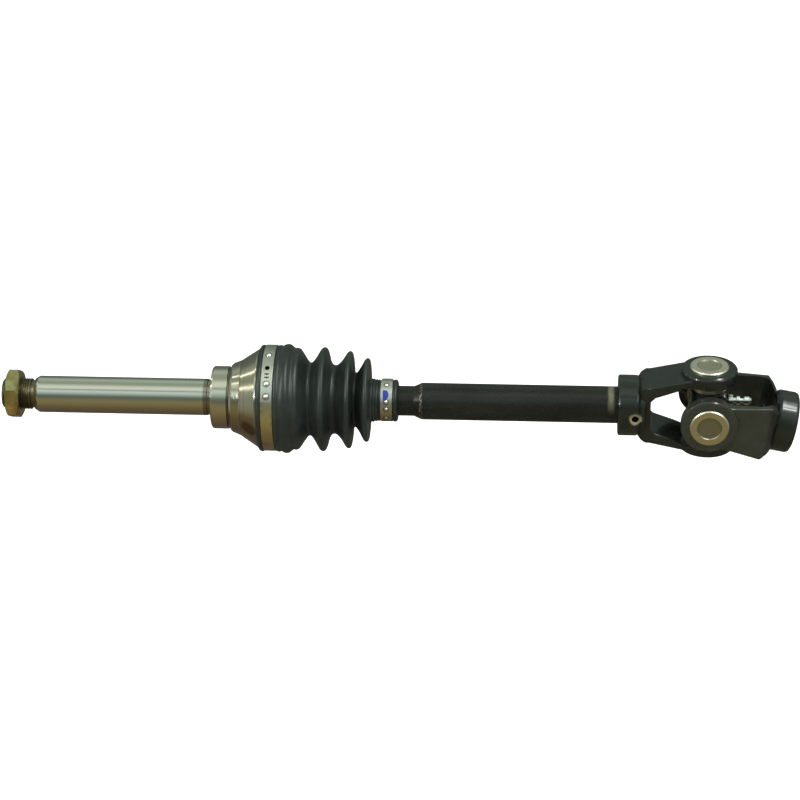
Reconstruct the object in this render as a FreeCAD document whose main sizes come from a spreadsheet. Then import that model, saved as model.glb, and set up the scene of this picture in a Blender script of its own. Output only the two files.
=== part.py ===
"""Half axle of a small three-wheeled vehicle: a ball joint in a rubber boot at the wheel end, a plain
shaft, and a universal joint with a splined yoke at the gearbox end.

Millimetres, +Z up. The X axis is the axle's own axis and the origin is the centre of the machined
shoulder that a wheel bearing seats on. The wheel stub runs to -X, the shaft and the universal joint
run to +X. The output yoke is drawn tilted down about its own pivot, as the free end hangs.
"""

import FreeCAD
import Part
import math
import os

import Sketcher
from FreeCAD import Placement, Rotation, Vector

X_AXIS = Vector(1, 0, 0)
Y_AXIS = Vector(0, 1, 0)
Z_AXIS = Vector(0, 0, 1)

# Every driving size: the alias of its cell, its value in millimetres or degrees, and what it is.
SIZE_TABLE = [
    ("tip_x", -149.5, "free end of the threaded stub"),
    ("nut_outer_x", -146.4, "outer face of the axle nut"),
    ("nut_inner_x", -136.4, "inner face of the axle nut"),
    ("nut_flats", 32.0, "width of the nut across its flats"),
    ("nut_turn", -4.5, "turn of the nut's corners from level"),
    ("thread_radius", 11.0, "major radius of the M22 thread"),
    ("thread_pitch", 1.5, "pitch of the M22 thread"),
    ("thread_depth", 0.85, "depth of its grooves"),
    ("journal_start_x", -126.5, "where the thread meets the journal"),
    ("journal_radius", 13.0, "ground journal the wheel hub slides on"),
    ("collar_end_x", 12.0, "right edge of the bearing collar"),
    ("collar_radius", 22.2, "bearing collar"),
    ("cone_end_x", 33.5, "large end of the bell's cone"),
    ("cone_radius", 35.3, "bell's cone at its large end"),
    ("bell_radius", 33.8, "cylinder under the boot's big end"),
    ("bell_end_x", 54.5, "rim of the bell"),
    ("joint_x", 42.0, "centre of the ball joint"),
    ("pitch_radius", 22.0, "ball centres to the joint's centre"),
    ("ball_radius", 7.0, "joint ball"),
    ("track_radius", 7.75, "section of the ball tracks"),
    ("bell_sphere", 25.3, "inside sphere of the bell"),
    ("cage_outer", 25.0, "outside sphere of the ball cage"),
    ("cage_inner", 20.3, "inside sphere of the ball cage"),
    ("inner_sphere", 20.0, "outside sphere of the inner race"),
    ("race_half", 9.5, "half the width of cage and inner race"),
    ("spline_radius", 9.5, "shaft inside the joint"),
    ("neck_radius", 10.6, "shaft beside the boot"),
    ("bar_start_x", 147.0, "start of the painted bar"),
    ("bar_radius", 13.0, "painted bar"),
    ("boot_start_x", 33.6, "big end of the boot"),
    ("boot_end_x", 131.0, "small end of the boot"),
    ("large_clamp_x", 37.5, "left edge of the large clamp"),
    ("large_clamp_width", 8.0, "band width of the large clamp"),
    ("large_clamp_inner", 36.45, "inside radius of the large clamp"),
    ("small_clamp_x", 119.2, "left edge of the small clamp"),
    ("small_clamp_width", 8.2, "band width of the small clamp"),
    ("small_clamp_inner", 14.25, "inside radius of the small clamp"),
    ("band_thickness", 0.75, "thickness of both clamp bands"),
    ("hub_start_x", 285.0, "left face of the shaft yoke"),
    ("hub_radius", 21.4, "hub of the shaft yoke"),
    ("pin_x", 296.8, "roll pin through the shaft yoke"),
    ("pin_radius", 2.5, "roll pin"),
    ("cross_x", 347.6, "centre of the universal joint"),
    ("ear_radius", 19.6, "round ears of both yokes"),
    ("ear_inner", 22.5, "inner faces of the ears, from the centre"),
    ("ear_outer", 31.0, "outer faces of the ears, from the centre"),
    ("ear_bevel", 1.9, "bevel round the outer faces of the ears"),
    ("arm_half", 16.0, "half the width of the shaft yoke's arms"),
    ("plate_half", 16.5, "half the height of the output yoke's arms"),
    ("cup_radius", 13.5, "bearing cup"),
    ("cup_face", 32.5, "outer face of a cup, from the centre"),
    ("cup_mouth", 16.2, "open end of a cup, from the centre"),
    ("cup_bore", 10.5, "bore of a cup"),
    ("cup_floor", 29.4, "inside of a cup's floor, from the centre"),
    ("trunnion_radius", 8.0, "trunnion of the cross"),
    ("trunnion_end", 28.3, "end of a trunnion, from the centre"),
    ("needle_radius", 1.2, "needle roller"),
    ("nipple_height", 5.3, "grease nipple above the cross's centre"),
    ("output_hub_radius", 21.5, "hub of the output yoke"),
    ("output_hub_end", 61.0, "end of the output hub, from the cross's centre"),
    ("pilot_radius", 10.5, "smooth pilot at the mouth of the output bore"),
    ("pilot_depth", 7.0, "depth of that pilot"),
    ("spline_bore", 9.0, "output bore inside its splines"),
    ("output_tilt", 11.0, "droop of the output yoke, in degrees"),
]

BALL_COUNT = 6
NEEDLE_COUNT = 22
THREAD_TURNS = 12
SPLINE_COUNT = 20

doc = FreeCAD.newDocument("half_axle")


class Dim:
    """A size: its value now, and the expression that keeps it bound to the sheet."""

    def __init__(self, value, text):
        self.value = float(value)
        self.text = text

    def __add__(self, other):
        return Dim(self.value + value_of(other), f"({self.text} + {text_of(other)})")

    def __radd__(self, other):
        return self + other

    def __sub__(self, other):
        return Dim(self.value - value_of(other), f"({self.text} - {text_of(other)})")

    def __rsub__(self, other):
        return Dim(value_of(other) - self.value, f"({text_of(other)} - {self.text})")

    def __mul__(self, other):
        return Dim(self.value * value_of(other), f"({self.text} * {text_of(other)})")

    def __rmul__(self, other):
        return self * other

    def __neg__(self):
        return Dim(-self.value, f"(0 - {self.text})")


def value_of(size):
    return size.value if isinstance(size, Dim) else float(size)


def text_of(size):
    return size.text if isinstance(size, Dim) else repr(float(size))


def fill_sheet():
    """The sheet of driving sizes, and a Dim for each of its aliases."""
    sheet = doc.addObject("Spreadsheet::Sheet", "Sizes")
    dims = {}
    for row, (alias, value, meaning) in enumerate(SIZE_TABLE, start=1):
        sheet.set(f"A{row}", meaning)
        sheet.set(f"B{row}", str(value))
        sheet.setAlias(f"B{row}", alias)
        dims[alias] = Dim(value, f"Sizes.{alias}")
    doc.recompute()
    return dims


S = fill_sheet()


# ---------------------------------------------------------------- building blocks


def bind(feature, path, size):
    """Sets one property of a feature, bound to the sheet where the size comes from it."""
    if isinstance(size, Dim):
        feature.setExpression(path, size.text)
    else:
        setattr(feature, path, size)


def primitive(kind, name, place=None, **sizes):
    """A Part primitive such as Cylinder, with its sizes and its Placement."""
    feature = doc.addObject(f"Part::{kind}", name)
    for path, size in sizes.items():
        bind(feature, path, size)
    if place is not None:
        feature.Placement = place
    return feature


def origin_plane(body, role):
    return next(item for item in body.Origin.OriginFeatures if item.Role == role)


def new_sketch(body, name, role, offset=None):
    """An empty sketch on one of the body's origin planes, lifted off it by offset."""
    sketch = body.newObject("Sketcher::SketchObject", name)
    sketch.AttachmentSupport = (origin_plane(body, role), [""])
    sketch.MapMode = "FlatFace"
    if offset is not None:
        bind_offset(sketch, offset)
    return sketch


def bind_offset(sketch, offset):
    sketch.AttachmentOffset = Placement(Vector(0, 0, value_of(offset)), Rotation())
    if isinstance(offset, Dim):
        sketch.setExpression("AttachmentOffset.Base.z", offset.text)


def hold_point(sketch, kind, line, size):
    """Holds the start of a line at one coordinate of the sketch."""
    index = sketch.addConstraint(
        Sketcher.Constraint(kind, -1, 1, line, 1, value_of(size))
    )
    if isinstance(size, Dim):
        sketch.setExpression(f"Constraints[{index}]", size.text)


def draw_outline(sketch, points):
    """A closed outline of straight lines, every corner held at its two coordinates."""
    count = len(points)
    corners = [Vector(value_of(u), value_of(v), 0) for u, v in points]
    for line in range(count):
        sketch.addGeometry(
            Part.LineSegment(corners[line], corners[(line + 1) % count])
        )
    for line in range(count):
        sketch.addConstraint(
            Sketcher.Constraint("Coincident", line, 2, (line + 1) % count, 1)
        )
    for line, (u, v) in enumerate(points):
        hold_point(sketch, "DistanceX", line, u)
        hold_point(sketch, "DistanceY", line, v)


def draw_circle(sketch, radius):
    """A circle about the sketch's origin."""
    circle = Part.Circle(Vector(0, 0, 0), Vector(0, 0, 1), value_of(radius))
    sketch.addGeometry(circle)
    sketch.addConstraint(Sketcher.Constraint("Coincident", 0, 3, -1, 1))
    index = sketch.addConstraint(Sketcher.Constraint("Radius", 0, value_of(radius)))
    if isinstance(radius, Dim):
        sketch.setExpression(f"Constraints[{index}]", radius.text)


def turned(name, points, about="X", angle=360.0, place=None):
    """A body turned about X from (x, radius) points, or about Z from (radius, z) points.
    Less than a full turn is centred on the half-plane that the outline is drawn in."""
    body = doc.addObject("PartDesign::Body", name)
    sketch = new_sketch(body, f"{name}_outline", "XZ_Plane")
    draw_outline(sketch, points)
    turn = body.newObject("PartDesign::Revolution", f"{name}_turn")
    turn.Profile = sketch
    turn.ReferenceAxis = (sketch, ["H_Axis" if about == "X" else "V_Axis"])
    turn.Angle = angle
    turn.Midplane = angle < 360.0
    body.Tip = turn
    if place is not None:
        body.Placement = place
    return body


def padded(body, name, role, points, length, offset=None, midplane=True):
    """A pad of an outline, to both sides of its plane or one."""
    sketch = new_sketch(body, f"{name}_outline", role, offset)
    draw_outline(sketch, points)
    return pad_of(body, name, sketch, length, midplane)


def pad_of(body, name, sketch, length, midplane):
    pad = body.newObject("PartDesign::Pad", name)
    pad.Profile = sketch
    bind(pad, "Length", length)
    pad.Midplane = midplane
    body.Tip = pad
    return pad


def boolean(kind, name, base, tool):
    """A Part Cut, Common or Fuse of two features."""
    feature = doc.addObject(f"Part::{kind}", name)
    feature.Base = base
    feature.Tool = tool
    return feature


def fused(name, shapes):
    feature = doc.addObject("Part::MultiFuse", name)
    feature.Shapes = shapes
    return feature


def at_x(size, turn=0.0):
    """A place on the X axis, turned about it."""
    return Placement(Vector(value_of(size), 0, 0), Rotation(X_AXIS, turn))


def along_x(size):
    """A place on the X axis whose own Z axis runs along +X."""
    return Placement(Vector(value_of(size), 0, 0), Rotation(Y_AXIS, 90))


def radial(x, elevation, distance):
    """A place on a ring about X, its own Z axis pointing outwards. Elevation is measured
    from -Y towards +Z, in degrees."""
    turn = Rotation(X_AXIS, 90 - elevation)
    out = turn.multVec(Vector(0, 0, value_of(distance)))
    return Placement(Vector(value_of(x), 0, 0) + out, turn)


# ---------------------------------------------------------------- wheel end


def make_axle_nut():
    """Hex nut with both ends turned down to a washer face and a clear bore over the thread."""
    length = S["nut_inner_x"] - S["nut_outer_x"]
    circumradius = S["nut_flats"] * (1 / math.sqrt(3))
    hexagon = primitive(
        "Prism", "nut_hexagon", Polygon=6, Circumradius=circumradius, Height=length
    )
    hexagon.Placement = Placement(
        Vector(S["nut_outer_x"].value, 0, 0),
        Rotation(X_AXIS, S["nut_turn"].value) * Rotation(Y_AXIS, 90),
    )
    face = S["nut_flats"] * 0.48
    corner = S["nut_flats"] * 0.58
    bore = S["thread_radius"] + 0.05
    blank = turned(
        "nut_blank",
        [
            (S["nut_outer_x"], bore + 1.0),
            (S["nut_outer_x"], face),
            (S["nut_outer_x"] + 1.9, corner),
            (S["nut_inner_x"] - 2.1, corner),
            (S["nut_inner_x"], face),
            (S["nut_inner_x"], bore + 1.0),
            (S["nut_inner_x"] - 1.0, bore),
            (S["nut_outer_x"] + 1.0, bore),
        ],
    )
    return boolean("Common", "axle_nut", hexagon, blank)


def ball_tracks(name):
    """Arcs of six tori about the joint's centre, one for each ball, wide enough for the ball
    to lean with the cage."""
    arcs = []
    for number in range(BALL_COUNT):
        arc = primitive(
            "Torus",
            f"{name}_{number + 1}",
            Radius1=S["pitch_radius"],
            Radius2=S["track_radius"],
            Angle3=130.0,
        )
        turn = Rotation(X_AXIS, number * 360 / BALL_COUNT) * Rotation(Z_AXIS, 25)
        arc.Placement = Placement(Vector(S["joint_x"].value, 0, 0), turn)
        arcs.append(arc)
    return arcs


def thread_turns(first, count):
    """Outline of a row of grooves with sloping flanks, one for each turn of the thread."""
    crest = S["thread_radius"]
    root = crest - S["thread_depth"]
    points = []
    for turn in range(count):
        groove = first + S["thread_pitch"] * turn
        points += [
            (groove, crest),
            (groove + 0.5, root),
            (groove + 0.75, root),
            (groove + 1.25, crest),
        ]
    return points


def make_stub_outer_race():
    """One forging: threaded end, journal, bearing collar, cone and the bell of the ball joint."""
    start = S["journal_start_x"]
    collar = S["collar_end_x"]
    blank = turned(
        "stub_blank",
        [
            (S["tip_x"], 0),
            (S["tip_x"], S["thread_radius"] - 1.4),
            (S["tip_x"] + 1.4, S["thread_radius"]),
            *thread_turns(S["tip_x"] + 1.6, THREAD_TURNS),
            (start - 2.7, S["thread_radius"]),
            (start - 2.2, S["thread_radius"] - 1.2),
            (start, S["thread_radius"] - 1.2),
            (start, S["journal_radius"] - 1.9),
            (start + 3.0, S["journal_radius"]),
            (-3.5, S["journal_radius"]),
            (-3.0, S["journal_radius"] - 0.5),
            (0, S["journal_radius"] - 0.5),
            (0, S["collar_radius"] - 1.4),
            (0.5, S["collar_radius"] - 0.5),
            (1.6, S["collar_radius"]),
            (collar - 0.4, S["collar_radius"]),
            (collar, S["collar_radius"] - 0.8),
            (collar + 0.8, S["collar_radius"] - 0.8),
            (collar + 1.1, S["collar_radius"] + 0.2),
            (collar + 1.6, S["collar_radius"] + 1.2),
            (collar + 3.2, S["collar_radius"] + 2.6),
            (collar + 3.7, S["collar_radius"] + 2.6),
            (collar + 9.0, S["collar_radius"] + 4.8),
            (collar + 9.5, S["collar_radius"] + 5.3),
            (S["cone_end_x"] - 1.0, S["cone_radius"] - 0.6),
            (S["cone_end_x"], S["cone_radius"] - 0.2),
            (S["cone_end_x"], S["bell_radius"]),
            (S["bell_end_x"] - 1.0, S["bell_radius"]),
            (S["bell_end_x"], S["bell_radius"] - 1.0),
            (S["bell_end_x"], 0),
        ],
    )
    hollow = primitive(
        "Sphere", "bell_hollow", at_x(S["joint_x"]), Radius=S["bell_sphere"]
    )
    mouth = turned(
        "bell_mouth",
        [
            (S["bell_end_x"] - 4.0, 0),
            (S["bell_end_x"] - 4.0, S["bell_sphere"] - 2.2),
            (S["bell_end_x"] + 0.5, S["bell_sphere"] + 1.6),
            (S["bell_end_x"] + 0.5, 0),
        ],
    )
    tools = fused("bell_inside", [hollow, mouth] + ball_tracks("bell_track"))
    return boolean("Cut", "stub_outer_race", blank, tools)


def make_balls():
    """Six balls in the joint's middle plane, two of them on the axis that the joint bends about."""
    balls = []
    for number in range(BALL_COUNT):
        angle = math.radians(number * 360 / BALL_COUNT)
        ball = primitive("Sphere", f"cv_ball_{number + 1}", Radius=S["ball_radius"])
        ball.setExpression("Placement.Base.x", S["joint_x"].text)
        ball.setExpression("Placement.Base.y", (S["pitch_radius"] * math.cos(angle)).text)
        ball.setExpression("Placement.Base.z", (S["pitch_radius"] * math.sin(angle)).text)
        balls.append(ball)
    return balls


def middle_slab(name, half, radius):
    """A disc about the joint's centre, used to trim a sphere to a ring."""
    return primitive(
        "Cylinder",
        name,
        along_x(S["joint_x"] - half),
        Radius=radius,
        Height=half * 2,
    )


def make_ball_cage():
    """A spherical ring with a round window for each ball."""
    shell = primitive("Sphere", "cage_ball", at_x(S["joint_x"]), Radius=S["cage_outer"])
    slab = middle_slab("cage_slab", S["race_half"] + 0.5, S["cage_outer"] + 1.0)
    ring = boolean("Common", "cage_ring", shell, slab)
    tools = [
        primitive("Sphere", "cage_hollow", at_x(S["joint_x"]), Radius=S["cage_inner"])
    ]
    for number in range(BALL_COUNT):
        angle = number * 360 / BALL_COUNT
        tools.append(
            primitive(
                "Cylinder",
                f"cage_window_{number + 1}",
                radial(S["joint_x"], 180 - angle, 10.0),
                Radius=S["ball_radius"] + 0.1,
                Height=S["cage_outer"] - 8.0,
            )
        )
    return boolean("Cut", "ball_cage", ring, fused("cage_openings", tools))


def make_inner_race():
    """A spherical ring on the shaft's splines, with a track for each ball."""
    ball = primitive("Sphere", "race_ball", at_x(S["joint_x"]), Radius=S["inner_sphere"])
    slab = middle_slab("race_slab", S["race_half"], S["inner_sphere"] + 1.0)
    ring = boolean("Common", "race_ring", ball, slab)
    bore = middle_slab("race_bore", S["race_half"] + 1.0, S["spline_radius"] + 0.02)
    tools = fused("race_cuts", [bore] + ball_tracks("race_track"))
    return boolean("Cut", "inner_race", ring, tools)


def make_boot():
    """Three-fold bellows of even wall, with a lip and a clamp seat at each end."""
    start = S["boot_start_x"]
    seat = S["large_clamp_inner"] - 0.05
    clamp_start = S["large_clamp_x"]
    clamp_end = clamp_start + S["large_clamp_width"]
    small_start = S["small_clamp_x"]
    small_end = small_start + S["small_clamp_width"]
    small_seat = S["small_clamp_inner"] - 0.05
    end = S["boot_end_x"]
    outside = [
        (start, seat - 0.8),
        (start + 0.9, seat + 0.8),
        (start + 2.6, seat + 1.4),
        (clamp_start - 0.15, seat + 0.8),
        (clamp_start - 0.1, seat),
        (clamp_end + 0.1, seat),
        (clamp_end + 0.7, seat + 1.2),
        (49.5, seat + 1.9),
        (53.0, seat + 2.2),
        (56.5, seat + 1.2),
        (59.5, seat - 0.8),
        (62.0, seat - 1.1),
        (69.0, 25.9),
        (78.5, 36.6),
        (86.5, 24.3),
        (97.3, 34.2),
        (101.0, 19.4),
        (109.0, 29.3),
        (114.0, 14.9),
        (small_start - 0.2, small_seat),
        (small_end + 0.2, small_seat),
        (small_end + 0.6, small_seat + 0.7),
        (end, small_seat - 0.2),
    ]
    inside = [
        (end, S["neck_radius"] + 0.08),
        (114.6, S["neck_radius"] + 0.08),
        (111.8, 13.0),
        (107.9, 25.2),
        (100.2, 16.0),
        (95.6, 31.0),
        (86.0, 20.9),
        (78.3, 33.2),
        (68.4, 22.6),
        (60.6, 33.0),
        (56.4, S["bell_radius"] + 0.1),
        (start, S["bell_radius"] + 0.05),
    ]
    return turned("boot", outside + inside)


def strap(name, x, width, inner, angle, elevation):
    """Part of a band lying on another, centred on an elevation."""
    outer = inner + S["band_thickness"]
    return turned(
        name,
        [(x, inner), (x + width, inner), (x + width, outer), (x, outer)],
        angle=angle,
        place=at_x(0, 90 - elevation),
    )


def make_large_clamp():
    """Steel band with a lapped tail, pressed locking bumps, a tool hole and two slots."""
    x = S["large_clamp_x"]
    width = S["large_clamp_width"]
    outer = S["large_clamp_inner"] + S["band_thickness"]
    middle = x + width * 0.5
    band = strap("large_band", x, width, S["large_clamp_inner"], 360.0, 90)
    tail = strap("large_tail", x + 0.4, width - 0.8, outer - 0.02, 156.0, 102.0)
    bumps = []
    for number, elevation in enumerate((30, 43.5, 81)):
        place = radial(middle, elevation, outer - 0.45)
        bumps.append(primitive("Sphere", f"large_bump_{number + 1}", place, Radius=2.2))
    body = fused("large_clamp_body", [band, tail] + bumps)
    hole = primitive(
        "Cylinder", "large_tool_hole", radial(middle, 62, outer - 0.6), Radius=1.6, Height=4.0
    )
    slots = []
    for number, elevation in enumerate((50, 54)):
        place = radial(x + width * 0.28, elevation, outer - 0.6)
        slots.append(
            primitive(
                "Box", f"large_slot_{number + 1}", place, Length=3.4, Width=1.0, Height=3.0
            )
        )
    seat = primitive(
        "Cylinder", "large_seat", along_x(30.0), Radius=S["large_clamp_inner"], Height=25.0
    )
    cuts = fused("large_cuts", [seat, hole] + slots)
    return boolean("Cut", "large_clamp", body, cuts)


def make_small_clamp():
    """The same kind of band around the boot's small end."""
    x = S["small_clamp_x"]
    width = S["small_clamp_width"]
    outer = S["small_clamp_inner"] + S["band_thickness"] * 0.7
    middle = x + width * 0.5
    band = turned(
        "small_band",
        [
            (x, S["small_clamp_inner"]),
            (x + width, S["small_clamp_inner"]),
            (x + width, outer),
            (x, outer),
        ],
    )
    tail = strap("small_tail", x + 0.5, width - 1.0, outer - 0.02, 170.0, 45)
    bumps = []
    for number, elevation in enumerate((73, 24, 4, -24)):
        place = radial(middle, elevation, outer - 0.3)
        bumps.append(primitive("Sphere", f"small_bump_{number + 1}", place, Radius=1.7))
    body = fused("small_clamp_body", [band, tail] + bumps)
    seat = primitive(
        "Cylinder", "small_seat", along_x(110.0), Radius=S["small_clamp_inner"], Height=25.0
    )
    return boolean("Cut", "small_clamp", body, seat)


# ---------------------------------------------------------------- shaft


def pin_bore(name, radius):
    """A hole right through along Y, where the roll pin goes."""
    turn = Rotation(X_AXIS, 90)
    place = Placement(Vector(S["pin_x"].value, 30, 0), turn)
    return primitive("Cylinder", name, place, Radius=radius, Height=60.0)


def make_axle_shaft():
    """Bar with a turned-down end for the joint, two ring grooves and a cross hole for the pin."""
    start = S["joint_x"] - S["race_half"] - 3.0
    clip = S["joint_x"] - S["race_half"] - 0.15
    stop = S["joint_x"] + S["race_half"] + 0.15
    spline = S["spline_radius"]
    bar = turned(
        "shaft_blank",
        [
            (start, 0),
            (start, spline - 0.8),
            (start + 0.8, spline),
            (clip - 1.5, spline),
            (clip - 1.5, spline - 1.0),
            (clip, spline - 1.0),
            (clip, spline),
            (stop, spline),
            (stop, spline - 0.9),
            (stop + 1.5, spline - 0.9),
            (stop + 1.5, spline),
            (97.0, spline),
            (99.0, S["neck_radius"]),
            (S["bar_start_x"] - 4.6, S["neck_radius"]),
            (S["bar_start_x"] - 0.4, S["bar_radius"] - 0.5),
            (S["bar_start_x"] + 0.6, S["bar_radius"]),
            (S["hub_start_x"] + 18.0, S["bar_radius"]),
            (S["hub_start_x"] + 19.0, S["bar_radius"] - 1.0),
            (S["hub_start_x"] + 19.0, 0),
        ],
    )
    return boolean("Cut", "axle_shaft", bar, pin_bore("shaft_pin_hole", S["pin_radius"]))


def ring_on_shaft(name, start, depth, height, angle, elevation):
    """An open spring ring lying in one of the shaft's grooves."""
    spline = S["spline_radius"]
    return turned(
        name,
        [
            (start + 0.02, spline - depth),
            (start + 1.48, spline - depth),
            (start + 1.48, spline + height),
            (start + 0.02, spline + height),
        ],
        angle=angle,
        place=at_x(0, 90 - elevation),
    )


def make_shaft_rings():
    """Circlip at the free end of the inner race, stop ring behind it."""
    clip = S["joint_x"] - S["race_half"] - 1.65
    stop = S["joint_x"] + S["race_half"] + 0.15
    circlip = ring_on_shaft("shaft_circlip", clip, 0.97, 1.6, 300.0, 90)
    stop_ring = ring_on_shaft("race_stop_ring", stop, 0.87, 1.9, 320.0, -90)
    return [circlip, stop_ring]


def make_roll_pin():
    """Split tubular pin through the yoke's hub and the bar."""
    outer = S["pin_radius"] - 0.02
    inner = S["pin_radius"] - 0.9
    half = S["hub_radius"] - 5.4
    turn = Rotation(X_AXIS, 90)
    return turned(
        "yoke_roll_pin",
        [
            (inner, -half),
            (outer - 0.5, -half),
            (outer, -half + 0.8),
            (outer, half - 0.8),
            (outer - 0.5, half),
            (inner, half),
        ],
        about="Z",
        angle=340.0,
        place=Placement(Vector(S["pin_x"].value, 0, 0), turn),
    )


# ---------------------------------------------------------------- universal joint

# How each trunnion's own +Z axis is turned: the shaft yoke holds the upright pair and the
# output yoke the level pair.
TRUNNIONS = {
    "top": Rotation(X_AXIS, 0),
    "bottom": Rotation(X_AXIS, 180),
    "front": Rotation(X_AXIS, 90),
    "rear": Rotation(X_AXIS, -90),
}


def at_cross(turn=None):
    """A place at the centre of the universal joint."""
    return Placement(Vector(S["cross_x"].value, 0, 0), turn or Rotation())


def rounded(name, base, radius, wanted):
    """Fillets the edges whose middle point, in the piece's own frame, is wanted."""
    doc.recompute()
    feature = doc.addObject("Part::Fillet", name)
    feature.Base = base
    edges = []
    for index, edge in enumerate(base.Shape.Edges, start=1):
        middle = edge.valueAt((edge.FirstParameter + edge.LastParameter) / 2)
        if wanted(middle):
            edges.append((index, radius, radius))
    feature.Edges = edges
    return feature


def mirrored(points):
    """The points and their mirror image across the axis, as one closed outline."""
    return points + [(x, -v) for x, v in reversed(points)]


def make_arms(name, profile, widths, role, ear_role):
    """The two arms of a yoke and the bridge between them: the bent side outline, as thick as it
    needs to be, trimmed by the outline of the arms' width."""
    side = doc.addObject("PartDesign::Body", f"{name}_side")
    padded(side, f"{name}_side_pad", role, mirrored(profile), S["cup_face"] * 2)
    plan = doc.addObject("PartDesign::Body", f"{name}_plan")
    padded(plan, f"{name}_plan_pad", ear_role, mirrored(widths), S["cup_face"] * 2)
    return boolean("Common", f"{name}_arms", side, plan)


def make_ears(name, sides):
    """Round bevelled ears standing a little proud of the arms."""
    outer = S["ear_outer"]
    radius = S["ear_radius"]
    bevel = S["ear_bevel"]
    outline = [
        (0, S["ear_inner"]),
        (radius, S["ear_inner"]),
        (radius, outer - bevel * 0.8),
        (radius - bevel * 0.3, outer - bevel * 0.35),
        (radius - bevel, outer),
        (0, outer),
    ]
    return [
        turned(
            f"{name}_ear_{side}",
            outline,
            about="Z",
            place=Placement(Vector(), TRUNNIONS[side]),
        )
        for side in sides
    ]


def make_shaft_yoke():
    """Hub pinned on the bar and two flared arms, up and down, with bored round ears."""
    inner = S["ear_inner"]
    profile = [
        (-49.5, 14.5),
        (-48.5, 17.2),
        (-46.6, 19.4),
        (-44.0, 20.9),
        (-41.0, 21.7),
        (-8.0, 28.9),
        (0, 28.9),
        (0, inner),
        (-14.0, inner),
        (-22.6, 18.8),
        (-38.0, 13.2),
        (-40.1, 11.0),
    ]
    half = S["arm_half"]
    widths = [
        (-49.5, half - 6.0),
        (-48.5, half - 3.7),
        (-46.6, half - 1.7),
        (-44.0, half - 0.5),
        (-41.0, half),
        (0, half),
    ]
    arms = make_arms("shaft_yoke", profile, widths, "XZ_Plane", "XY_Plane")
    soft = rounded("shaft_yoke_soft", arms, 1.6, is_long_arm_edge)
    start = S["hub_start_x"] - S["cross_x"]
    hub = turned(
        "shaft_yoke_hub",
        [
            (start, 0),
            (start, S["hub_radius"] - 1.2),
            (start + 0.4, S["hub_radius"] - 0.4),
            (start + 1.2, S["hub_radius"]),
            (-49.9, S["hub_radius"]),
            (-48.6, S["hub_radius"] - 0.6),
            (-47.0, S["hub_radius"] - 2.4),
            (-44.0, S["hub_radius"] - 2.4),
            (-44.0, 0),
        ],
    )
    body = fused("shaft_yoke_body", [soft, hub] + make_ears("shaft_yoke", ("top", "bottom")))
    pin_place = S["pin_x"].value - S["cross_x"].value
    across = Rotation(X_AXIS, 90)
    flat = S["hub_radius"].value - 0.45
    tools = [
        primitive(
            "Cylinder",
            "shaft_yoke_bore",
            along_x(start - 1.0),
            Radius=S["bar_radius"] + 0.02,
            Height=20.05,
        ),
        primitive(
            "Cylinder",
            "shaft_yoke_ear_bores",
            Placement(Vector(0, 0, -40), Rotation()),
            Radius=S["cup_radius"] + 0.02,
            Height=80.0,
        ),
        primitive(
            "Cylinder",
            "shaft_yoke_spot_face",
            Placement(Vector(0, 0, -S["ear_inner"].value), Rotation()),
            Radius=S["cup_radius"] + 2.9,
            Height=S["ear_inner"] * 2,
        ),
        primitive(
            "Cylinder",
            "shaft_yoke_pin_hole",
            Placement(Vector(pin_place, 30, 0), across),
            Radius=S["pin_radius"],
            Height=60.0,
        ),
        primitive(
            "Cylinder",
            "shaft_yoke_front_flat",
            Placement(Vector(pin_place, -flat, 0), across),
            Radius=S["pin_radius"] * 2,
            Height=10.0,
        ),
        primitive(
            "Cylinder",
            "shaft_yoke_rear_flat",
            Placement(Vector(pin_place, flat + 10.0, 0), across),
            Radius=S["pin_radius"] * 2,
            Height=10.0,
        ),
    ]
    yoke = boolean("Cut", "shaft_yoke", body, fused("shaft_yoke_cuts", tools))
    yoke.Placement = at_cross()
    return yoke


def is_long_arm_edge(middle):
    """The outside edges along the arms of the shaft yoke."""
    on_side = abs(abs(middle.y) - S["arm_half"].value) < 0.05
    return on_side and -40.9 < middle.x < -3 and abs(middle.z) > 20.5


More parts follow.
